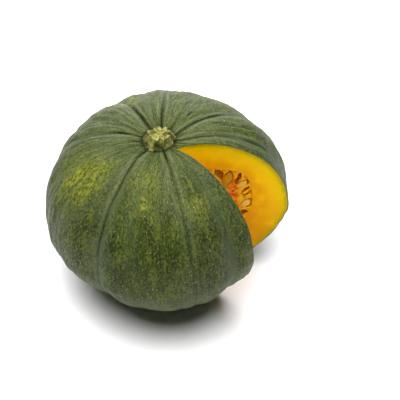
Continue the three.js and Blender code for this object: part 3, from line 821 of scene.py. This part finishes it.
def pulp_relief(face, out, up):
    """Depth behind the face and how hollow each place is: cells, threads fanned out to the wall,
    lumps, and the torn heart about the cut line."""
    place = np.stack([out, up, WAVES_APART * FACES[face]["inward"] + 0 * out], axis=-1)
    uneven = {name: ripples(place, [wave]) for name, wave in PULP_WAVES.items()}
    fan_out = out + uneven["bend out"] - FAN_MIDDLE[0]
    fan_up = up + uneven["bend up"] - FAN_MIDDLE[1]
    fan, spread = np.arctan2(fan_up, fan_out), np.hypot(fan_out, fan_up)
    stretch = FANNED["stretch"]
    fanned = np.stack([stretch * np.cos(fan), stretch * np.sin(fan), spread / stretch], axis=-1)
    depth = PULP_DEPTH["mean"] + uneven["lumps"] - strings(fanned, FANNED) - strings(place, TANGLED)
    hollow = np.zeros_like(out)
    for x0, y0, heading, length, width, holds in pocket_places(face):
        dx, dy = out - x0 + uneven["cell out"], up - y0 + uneven["cell up"]
        room = cell_room(dx, dy, heading, length, width)
        inside = smooth(room, *CELL_BAND)
        crest = CELL_CREST["height"] * bell(room - CELL_CREST["place"], CELL_CREST["reach"])
        floor = SEED_FLOOR
        if holds == EMPTY:
            floor = min(EMPTY_FLOOR["most"], EMPTY_FLOOR["least"] + EMPTY_FLOOR["by_width"] * width)
        depth = (depth - crest) * (1 - inside) + (floor + uneven["cell floor"]) * inside
        hollow = np.maximum(hollow, inside)
    ragged = 1 + uneven["heart edge"]
    from_heart = np.hypot(out / HEART["radius"], (up - HEART["up"]) / HEART["height"]) / ragged
    torn = HEART["depth"] * np.sqrt(np.clip(1 - from_heart ** 2, 0, 1)) * (1 + uneven["heart floor"])
    hollow = np.maximum(hollow, HEART_HOLLOW * smooth(torn, *HEART_BAND))
    return np.maximum(depth, PULP_DEPTH["least"]) + torn, hollow


def spaced(points, count):
    """Points at even distances along a bent line."""
    steps = np.linalg.norm(np.diff(points, axis=0), axis=1)
    travelled = np.concatenate([[0], np.cumsum(steps)])
    at = np.linspace(0, travelled[-1], count)
    return np.stack([np.interp(at, travelled, points[:, k]) for k in range(points.shape[1])], axis=-1)


def framed_patch(top, right, base, left):
    """A flat grid between four edges: each pair blended across, less the corners counted twice."""
    s = np.linspace(0, 1, len(top))[None, :, None]
    t = np.linspace(0, 1, len(left))[:, None, None]
    across = left[:, None] * (1 - s) + right[:, None] * s
    down = top[None] * (1 - t) + base[None] * t
    corners = (top[0] * (1 - s) + top[-1] * s) * (1 - t) + (base[0] * (1 - s) + base[-1] * s) * t
    return across + down - corners


PULP_GAP = 0.1
LINE_ROWS = (4, 400, 4)
WALL_BAND = (0, 2.2)
HALVING_BAND = (0, 14)


def pulp_sheet(face):
    """The cut surface of the pulp on one face, pushed in by its relief: straight in over most of the
    face and, near the cut line, towards the line that halves the notch, so that both sheets meet."""
    grid_rows, grid_columns = FACES[face]["grid"]
    angle = FACES[face]["angle"]
    cavity_line, _, _ = notched_grid(
        lambda v, u: cavity_surface(v, u, PULP_GAP), cavity_start, cavity_columns, LINE_ROWS, STRAIGHT)
    line = cut_edges(cavity_line, LINE_ROWS)[face]
    out = (line[:, 0] - CUT_LINE[0]) * math.cos(angle) + (line[:, 1] - CUT_LINE[1]) * math.sin(angle)
    line = np.stack([out, line[:, 2]], axis=-1)
    upper, lower = np.argmax(line[:, 0] + line[:, 1]), np.argmax(line[:, 0] - line[:, 1])
    top, right = spaced(line[:upper + 1], grid_columns + 1), spaced(line[upper:lower + 1], grid_rows + 1)
    base = spaced(line[lower:], grid_columns + 1)[::-1]
    left = spaced(np.stack([line[0], line[-1]]), grid_rows + 1)
    left[:, 0] = 0
    flat = framed_patch(top, right, base, left)
    out, up = flat[..., 0], flat[..., 1]
    depth, hollow = pulp_relief(face, out, up)
    row, column = np.arange(grid_rows + 1)[:, None], np.arange(grid_columns + 1)[None, :]
    steps_in = np.minimum(np.minimum(row, grid_rows - row), grid_columns - column)
    from_wall = steps_in * (up.max() - up.min()) / grid_rows
    depth = PULP_DEPTH["rim"] + (depth - PULP_DEPTH["rim"]) * smooth(from_wall, *WALL_BAND)
    middle = (FAR_CUT + NEAR_CUT) / 2
    into = np.array([-math.sin(angle), math.cos(angle)]) * FACES[face]["inward"]
    halving = -np.array([math.cos(middle), math.sin(middle)])
    blend = smooth(out, *HALVING_BAND)[..., None]
    way = halving * (1 - blend) + into * blend
    way /= np.linalg.norm(way, axis=-1, keepdims=True)
    points = face_point(face, out, up, 0 * out)
    points[..., :2] += way * depth[..., None]
    return points, depth, hollow, from_wall


# Both sheets share their points on the line where they meet. A back that nobody sees closes them:
# it leaves their rims inwards, clear of the cavity's wall, and runs together in one point.
BACK_MIDDLE = np.array([-38.0, 22.0, 15.0])
BACK_SHRINK = (0.95, 0.95, 0.93)
BACK_INWARDS = {"far": (0, 13, 0), "near": (-9, -9.4, 0)}
BACK_FIRST = 0.9
BACK_LEVELS = (0.2, 0.45, 0.7, 0.9, 1)
# What the back gets for its colours: a depth, a share of hollow and a distance from the wall.
BACK_VALUES = (8.0, 1.0, 8.0)

sheets = {face: pulp_sheet(face) for face in FACES}
far_sheet, near_sheet = sheets["far"][0], sheets["near"][0]
near_sheet[:, 0] = far_sheet[:, 0]
far_rim = np.concatenate([far_sheet[0, :], far_sheet[1:, -1], far_sheet[-1, -2::-1]])
near_rim = np.concatenate([near_sheet[-1, 1:], near_sheet[-2::-1, -1], near_sheet[0, -2::-1]])
loop = np.concatenate([far_rim, near_rim])
inwards = np.repeat(list(BACK_INWARDS.values()), [len(far_rim), len(near_rim)], axis=0)
shrunk = loop * BACK_SHRINK + (0, 0, (1 - BACK_SHRINK[2]) * BACK_MIDDLE[2]) + inwards
back = [loop, shrunk * BACK_FIRST + loop * (1 - BACK_FIRST)]
back += [shrunk * (1 - t) + BACK_MIDDLE * t for t in BACK_LEVELS]
back = np.stack(back)
back = np.concatenate([back, back[:, :1]], axis=1)

# Colours of the pulp: by how hollow it is, how deep in millimetres, and how far from the wall.
CELL_COLOUR_BAND = (0.05, 0.7)
CREST_HIGHLIGHT_BAND = (0.4, 1.8)
CORE_COLOUR_BAND = (11, 20)


def pulp_values(depth, hollow, from_wall):
    """Shares of cell colour, of the crest's painted highlight and of core colour: how hollow, how shallow
    and how far in it lies.
    """
    return {
        "cell": smooth(hollow, *CELL_COLOUR_BAND),
        "crest": (1 - smooth(depth, *CREST_HIGHLIGHT_BAND)) * (1 - hollow),
        # Painted highlight where the pulp stands up.
        "core": smooth(from_wall, *CORE_COLOUR_BAND),
    }


back_values = pulp_values(*(np.full(back.shape[:2], value) for value in BACK_VALUES))
pulp_patches = [
    (standing(far_sheet), pulp_values(*sheets["far"][1:]), 0, True),
    (standing(near_sheet), pulp_values(*sheets["near"][1:]), 0, False),
    (standing(back), back_values, 0, True),
]

# Wet squash pulp: glistening orange threads, brown orange in the cells, paler where a membrane stands up
# between two cells as a painted highlight, and the colour of the flesh where it meets the wall.
PULP_GLOW = tuple(MM * length for length in (3, 1.2, 0.3))
PULP_BASE = "#DDA000"
PULP_LAYERS = [
    # Painted highlight on the raised membranes.
    ((0.25, 0.25), 0.35, 0.60, 0.5, "crest", "#E4B024"),
    ((0.35, 0.35), 0.30, 0.60, 0.9, "core", "#DC7A0C"),
    ((0.30, 0.30), 0.50, 0.62, 0.9, "core", "#CC4E06"),
    ((0.50, 0.50), -0.6, 0.5, 0.95, "cell", "#AA6C0A"),
]
wet_pulp = new_material("wet stringy squash pulp")
surface(wet_pulp, layered(wet_pulp, in_millimetres(wet_pulp), PULP_BASE, PULP_LAYERS), bump=(1.6, 0.5),
        Roughness=0.4, Specular_IOR_Level=0.3, Specular_Tint=linear(WET_TINT),
        Subsurface_Weight=0.25, Subsurface_Radius=PULP_GLOW, Subsurface_Scale=1.0)

pulp = build_piece("pulp_filling", pulp_patches, [wet_pulp])
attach(pulp, "root")
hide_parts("pulp")

# Seeds: flat pointed drops with a thick margin, cream and slightly glossy, lying in their cells.
# Those of one face hang together on the cord of pulp that feeds their pointed ends.
SEED_DEPTH = 2.3
SEED_HALF_THICKNESS = 1.425
SEED_THICKENING = 0.6
SEED_EDGE_FULLNESS = 0.75
SEED_MARGIN = {"rise": 0.12, "place": 0.8, "reach": 0.12}
SEED_MARGIN_BAND = (0.6, 0.95)
SEED_GRID = (28, 32)
# A seed is so much shorter and narrower than its cell.
SEED_PLAY = {"length": 2, "width": 1.6}
# The strand passes a little inside each seed's point, and its bends are rounded over some points.
STRAND_DEPTH = 3.2
STRAND_RADIUS = 1.1
STRAND_GRID = (90, 10)
STRAND_START = 2
STRAND_BEND = 17


def seed_grid(length, width):
    """A flat drop: x along, y = half width cos a, z = half thickness sin a, fuller at the margin."""
    v = np.linspace(0, 1, SEED_GRID[0] + 1)[:, None]
    a = -np.linspace(0, 2 * math.pi, SEED_GRID[1] + 1)[None, :]
    swell = drop_swell(v)
    swell[0], swell[-1] = 0, 0
    across = np.cos(a)
    thick = np.sign(np.sin(a)) * np.abs(np.sin(a)) ** SEED_EDGE_FULLNESS
    margin = 1 + SEED_MARGIN["rise"] * bell(np.abs(across) - SEED_MARGIN["place"], SEED_MARGIN["reach"])
    x = length * v + 0 * a
    y = width / 2 * swell * across
    z = SEED_HALF_THICKNESS * swell ** SEED_THICKENING * thick * margin
    grid = np.stack([x, y, z], axis=-1)
    grid[:, -1] = grid[:, 0]
    return grid, smooth(np.abs(across), *SEED_MARGIN_BAND) + 0 * v


def tube_grid(path, radius, sides):
    """A round thread along a path: circles across it, closed to a point at both ends."""
    ahead = np.gradient(path, axis=0)
    ahead /= np.linalg.norm(ahead, axis=-1, keepdims=True)
    side = np.cross(ahead, np.array([0.0, 0.0, 1.0]))
    side /= np.maximum(np.linalg.norm(side, axis=-1, keepdims=True), 1e-6)
    up = np.cross(side, ahead)
    a = np.linspace(0, 2 * math.pi, sides + 1)[None, :, None]
    size = (radius * np.ones(len(path)))[:, None, None]
    size[0], size[-1] = 0, 0
    grid = path[:, None] + size * (side[:, None] * np.cos(a) + up[:, None] * np.sin(a))
    grid[:, -1] = grid[:, 0]
    grid[0], grid[-1] = path[0], path[-1]
    return grid


def placed_on_face(face, grid, x0, y0, heading, depth):
    """Turns a flat shape to its heading on a face and sets it in place, at a depth behind the cut."""
    x, y, z = grid[..., 0], grid[..., 1], grid[..., 2]
    out = x0 + x * math.cos(heading) - y * math.sin(heading)
    up = y0 + x * math.sin(heading) + y * math.cos(heading)
    return standing(face_point(face, out, up, depth + z))


# Seed coat: smooth tan cream, browner at the margin and where the wet pulp stains it.
SEED_BASE = "#DFB64C"
SEED_LAYERS = [
    ((0.30, 0.30), 0.40, 0.75, 0.6, None, "#C48C30"),
    ((0.50, 0.50), 0.10, 0.60, 0.5, "margin", "#B0701C"),
    ((0.50, 0.15), -0.30, 0.50, 1.0, "veil", "#B48206"),
]
seed_coat = new_material("smooth seed coat")
surface(seed_coat, layered(seed_coat, in_millimetres(seed_coat), SEED_BASE, SEED_LAYERS), bump=(1.2, 0.1),
        Roughness=0.35, Specular_IOR_Level=0.3, Specular_Tint=linear(WET_TINT))

for face in FACES:
    seed_patches, knots = [], []
    for x0, y0, heading, length, width, holds in pocket_places(face):
        if holds == EMPTY:
            continue
        grid, margin_value = seed_grid(length - SEED_PLAY["length"], width - SEED_PLAY["width"])
        placed = placed_on_face(face, grid, x0, y0, heading, SEED_DEPTH)
        veil = np.full(margin_value.shape, float(holds == VEILED))
        seed_patches.append((placed, {"margin": margin_value, "veil": veil}, 0, face == "far"))
        knots.append((x0 + STRAND_START * math.cos(heading), y0 + STRAND_START * math.sin(heading)))
    knots = np.array(knots)
    at = np.linspace(0, len(knots) - 1, STRAND_GRID[0])
    path = np.stack([np.interp(at, np.arange(len(knots)), knots[:, k]) for k in (0, 1)], axis=-1)
    path = np.pad(path, ((STRAND_BEND // 2, STRAND_BEND // 2), (0, 0)), mode="edge")
    kernel = np.hanning(STRAND_BEND)
    kernel /= kernel.sum()
    path = np.stack([np.convolve(path[:, k], kernel, "valid") for k in (0, 1)], axis=-1)
    route = standing(face_point(face, path[:, 0], path[:, 1], STRAND_DEPTH))
    cord = tube_grid(route, STRAND_RADIUS, STRAND_GRID[1])
    plain = np.zeros(cord.shape[:2])
    seed_patches.append((cord, {"margin": plain, "veil": plain}, 1, False))
    seeds = build_piece("seeds_" + face + "_cut_row", seed_patches, [seed_coat, wet_pulp])
    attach(seeds, "root")
    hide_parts("seeds_" + face + "_cut")

# Threads: loose ends of the pulp that the knife pulled out, thin, wet and bright orange.
# They lie over the cut pulp from the cavity's wall towards the torn heart.
THREADS = {"far": 130, "near": 90}
THREAD_SEED = 71
THREAD_GRID = (14, 6)
THREAD_RADIUS = (0.22, 0.55)
THREAD_LENGTH = (9, 26)
THREAD_BOW = 3.0
# Where a thread's middle lies about the fan's: angle and reach, and how far it strays from that angle.
THREAD_WAY = (-1.9, 2.4)
THREAD_REACH = (12, 34)
THREAD_STRAY = 0.35
# A thread stays so far out from the cut line, and inside the cavity's wall by this factor.
THREAD_CLEAR = {"line": 2, "wall": 1.03}
# It lies on the smoothed pulp, its middle line above it by a share of its radius. It bows up
# halfway and dives at both ends, and it stays between two depths.
THREAD_SMOOTHING = 5
THREAD_PROUD = 0.4
THREAD_ARCH = 0.6
THREAD_DIVE = 1.6
THREAD_DEPTHS = (0.3, 20)

# Wet squash thread: soft, half clear strands, from yellow orange to red orange.
THREAD_BASE = "#EE9A2A"
THREAD_LAYERS = [((0.12, 0.12), 0.35, 0.6, 1.0, None, "#D2540E")]
wet_thread = new_material("wet squash thread")
surface(wet_thread, layered(wet_thread, in_millimetres(wet_thread), THREAD_BASE, THREAD_LAYERS),
        bump=(1.6, 0.1), Roughness=0.3, Specular_IOR_Level=0.4, Specular_Tint=linear(WET_TINT),
        Subsurface_Weight=0.3, Subsurface_Radius=PULP_GLOW, Subsurface_Scale=1.0)

thread_patches = []
t = np.linspace(0, 1, THREAD_GRID[0] + 1)
arch = np.sin(math.pi * t)
for face, count in THREADS.items():
    draw = np.random.default_rng(THREAD_SEED)
    for _ in range(count):
        way = draw.uniform(*THREAD_WAY)
        reach = draw.uniform(*THREAD_REACH)
        length = draw.uniform(*THREAD_LENGTH)
        bow = draw.normal(0, THREAD_BOW)
        turn = way + draw.normal(0, THREAD_STRAY)
        radius = draw.uniform(*THREAD_RADIUS)
        out = FAN_MIDDLE[0] + reach * math.cos(way) + (t - 0.5) * length * math.cos(turn)
        up = FAN_MIDDLE[1] + reach * math.sin(way) + (t - 0.5) * length * math.sin(turn)
        out = out - bow * math.sin(turn) * arch
        up = up + bow * math.cos(turn) * arch
        room = room_to_wall(face, out, up)
        if out.min() < THREAD_CLEAR["line"] or room.min() < THREAD_CLEAR["wall"]:
            continue
        depth, _ = pulp_relief(face, out, up)
        depth = np.pad(depth, THREAD_SMOOTHING // 2, mode="edge")
        depth = np.convolve(depth, np.ones(THREAD_SMOOTHING) / THREAD_SMOOTHING, "valid")
        lie = np.clip(depth - radius * THREAD_PROUD - THREAD_ARCH * arch, *THREAD_DEPTHS)
        lie = lie + THREAD_DIVE * (1 - arch) ** 4
        route = standing(face_point(face, out, up, lie))
        thread = tube_grid(route, radius * (0.5 + 0.5 * arch), THREAD_GRID[1])
        thread_patches.append((thread, {}, 0, False))
threads = build_piece("pulp_threads", thread_patches, [wet_thread])
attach(threads, "root")

# Stem: the dry corky stub left when the fruit was cut from the vine, five-sided at its foot.
# It grew with the fruit: furrowed and knobbly, with a painted highlight on the ridges and painted shade in
# the furrows.
STEM_BASE_RADIUS = 17
STEM_TOP_RADIUS = 9
STEM_HEIGHT = 10
STEM_ROOT = 9
STEM_GRID = (120, 180)
# The top takes the first of these shares of v, the side the next, and the foot closes over the last.
STEM_SHARES = (0.25, 0.65, 0.1)
STEM_WIDENING = 1.15
STEM_LEAN = 1.2
# Lobes and flutes round it: how many, their share of the radius, turn, and turn more on the way down.
STEM_CORNERS = {"count": 5, "share": 0.17, "by_top": 0.4, "turn": 0.5}
STEM_FLUTES = [(9, 0.06, 0, 2), (7, 0.04, 1, 0)]
STEM_SUNK = 1.6
STEM_KNOBS = {"count": 3, "height": 1.1, "turn": 0.6}
# Its bark: millimetres round and down for the waves, and each as height, length and seed.
BARK_ROUND = 10
BARK_KNOBS, BARK_FURROWS = 16, 4
KNOB_WAVES = [(0.7, 7, 41), (0.15, 2, 43)]
FURROW_WAVES = [(0.45, 4.2, 42)]
CRUST_WAVES = [(0.5, 5.0, 44)]


def bark(angle, v, down):
    """The stub's side laid out for its waves: round a circle, and down times v."""
    return np.stack([BARK_ROUND * np.cos(angle), BARK_ROUND * np.sin(angle), down * v], axis=-1)


def stem_surface(v, u):
    """A fluted stub: a sunken top, a waist and a wide foot whose five lobes and flutes fade up it."""
    angle = u * 2 * math.pi
    from_top = np.minimum(1, v / STEM_SHARES[0])
    down = np.clip((v - STEM_SHARES[0]) / STEM_SHARES[1], 0, 1)
    foot = np.minimum(1, (1 - v) / STEM_SHARES[2])
    edge = np.sin(from_top * math.pi / 2)
    fading = STEM_CORNERS["by_top"] + (1 - STEM_CORNERS["by_top"]) * down
    corners = np.cos(STEM_CORNERS["count"] * (angle - STEM_CORNERS["turn"]))
    corners = STEM_CORNERS["share"] * fading * corners
    flutes = sum(
        share * np.sin(count * angle + twist * down + turn) for count, share, turn, twist in STEM_FLUTES)
    widening = STEM_TOP_RADIUS + (STEM_BASE_RADIUS - STEM_TOP_RADIUS) * down ** STEM_WIDENING
    knobbly = bark(angle, v, BARK_KNOBS)
    cork = ripples(knobbly, KNOB_WAVES) + ripples(bark(angle, v, BARK_FURROWS), FURROW_WAVES)
    radius = (widening * (1 + corners + flutes) + cork) * edge * foot
    knobs = STEM_KNOBS["height"] * np.sin(STEM_KNOBS["count"] * angle + STEM_KNOBS["turn"])
    crust = ripples(knobbly * edge[..., None], CRUST_WAVES) * (1 - down)
    height = STEM_HEIGHT + (-STEM_ROOT - STEM_HEIGHT) * down - STEM_SUNK * (1 - from_top)
    pole = fruit_surface(np.array([0.0]), np.array([0.0]), 0)[0]
    grid = np.stack([
        pole[0] + STEM_PLACE[0] + radius * np.cos(angle) + STEM_LEAN * (1 - down),
        pole[1] + STEM_PLACE[1] + radius * np.sin(angle),
        pole[2] + height + knobs * from_top * (1 - down) + crust,
    ], axis=-1)
    grid[:, -1] = grid[:, 0]
    grid[0], grid[-1] = grid[0].mean(axis=0), grid[-1].mean(axis=0)
    return grid, cork + 2 * crust


v_stem, u_stem = np.meshgrid(
    np.linspace(0, 1, STEM_GRID[0] + 1), np.linspace(0, 1, STEM_GRID[1] + 1), indexing="ij")
stem_grid, stem_relief = stem_surface(v_stem, u_stem)

# Dry cork: rough and dull, a straw coloured crust over olive brown furrows: the crust's paleness on the
# ridges is a painted highlight, and the furrows' darkness is painted shade.
CRUST_HIGHLIGHT_BAND = (-0.1, 1.1)
FURROW_SHADE_BAND = (-1.2, -0.1)
CORK_BASE = "#757439"
CORK_LAYERS = [
    # Painted highlight on the ridges, then painted shade in the furrows.
    ((0.9, 0.5), 0.35, 0.65, 0.8, "crust", "#9E9C58"),
    ((0.9, 0.5), 0.20, 0.60, 0.8, "furrow", "#4A4719"),
    ((0.45, 0.30), 0.52, 0.66, 0.45, None, "#5C4E1E"),
]
dry_cork = new_material("dry corky stalk")
surface(dry_cork, layered(dry_cork, in_millimetres(dry_cork), CORK_BASE, CORK_LAYERS), bump=(1.5, 0.6),
        Roughness=0.8, Specular_IOR_Level=0.25)

# Painted highlight on the ridges and painted shade in the furrows.
stem_values = {
    "crust": smooth(stem_relief, *CRUST_HIGHLIGHT_BAND),
    "furrow": 1 - smooth(stem_relief, *FURROW_SHADE_BAND),
}
stem = build_piece("stem_stub", [(standing(stem_grid), stem_values, 0, False)], [dry_cork])
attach(stem, "root")
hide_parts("stem")
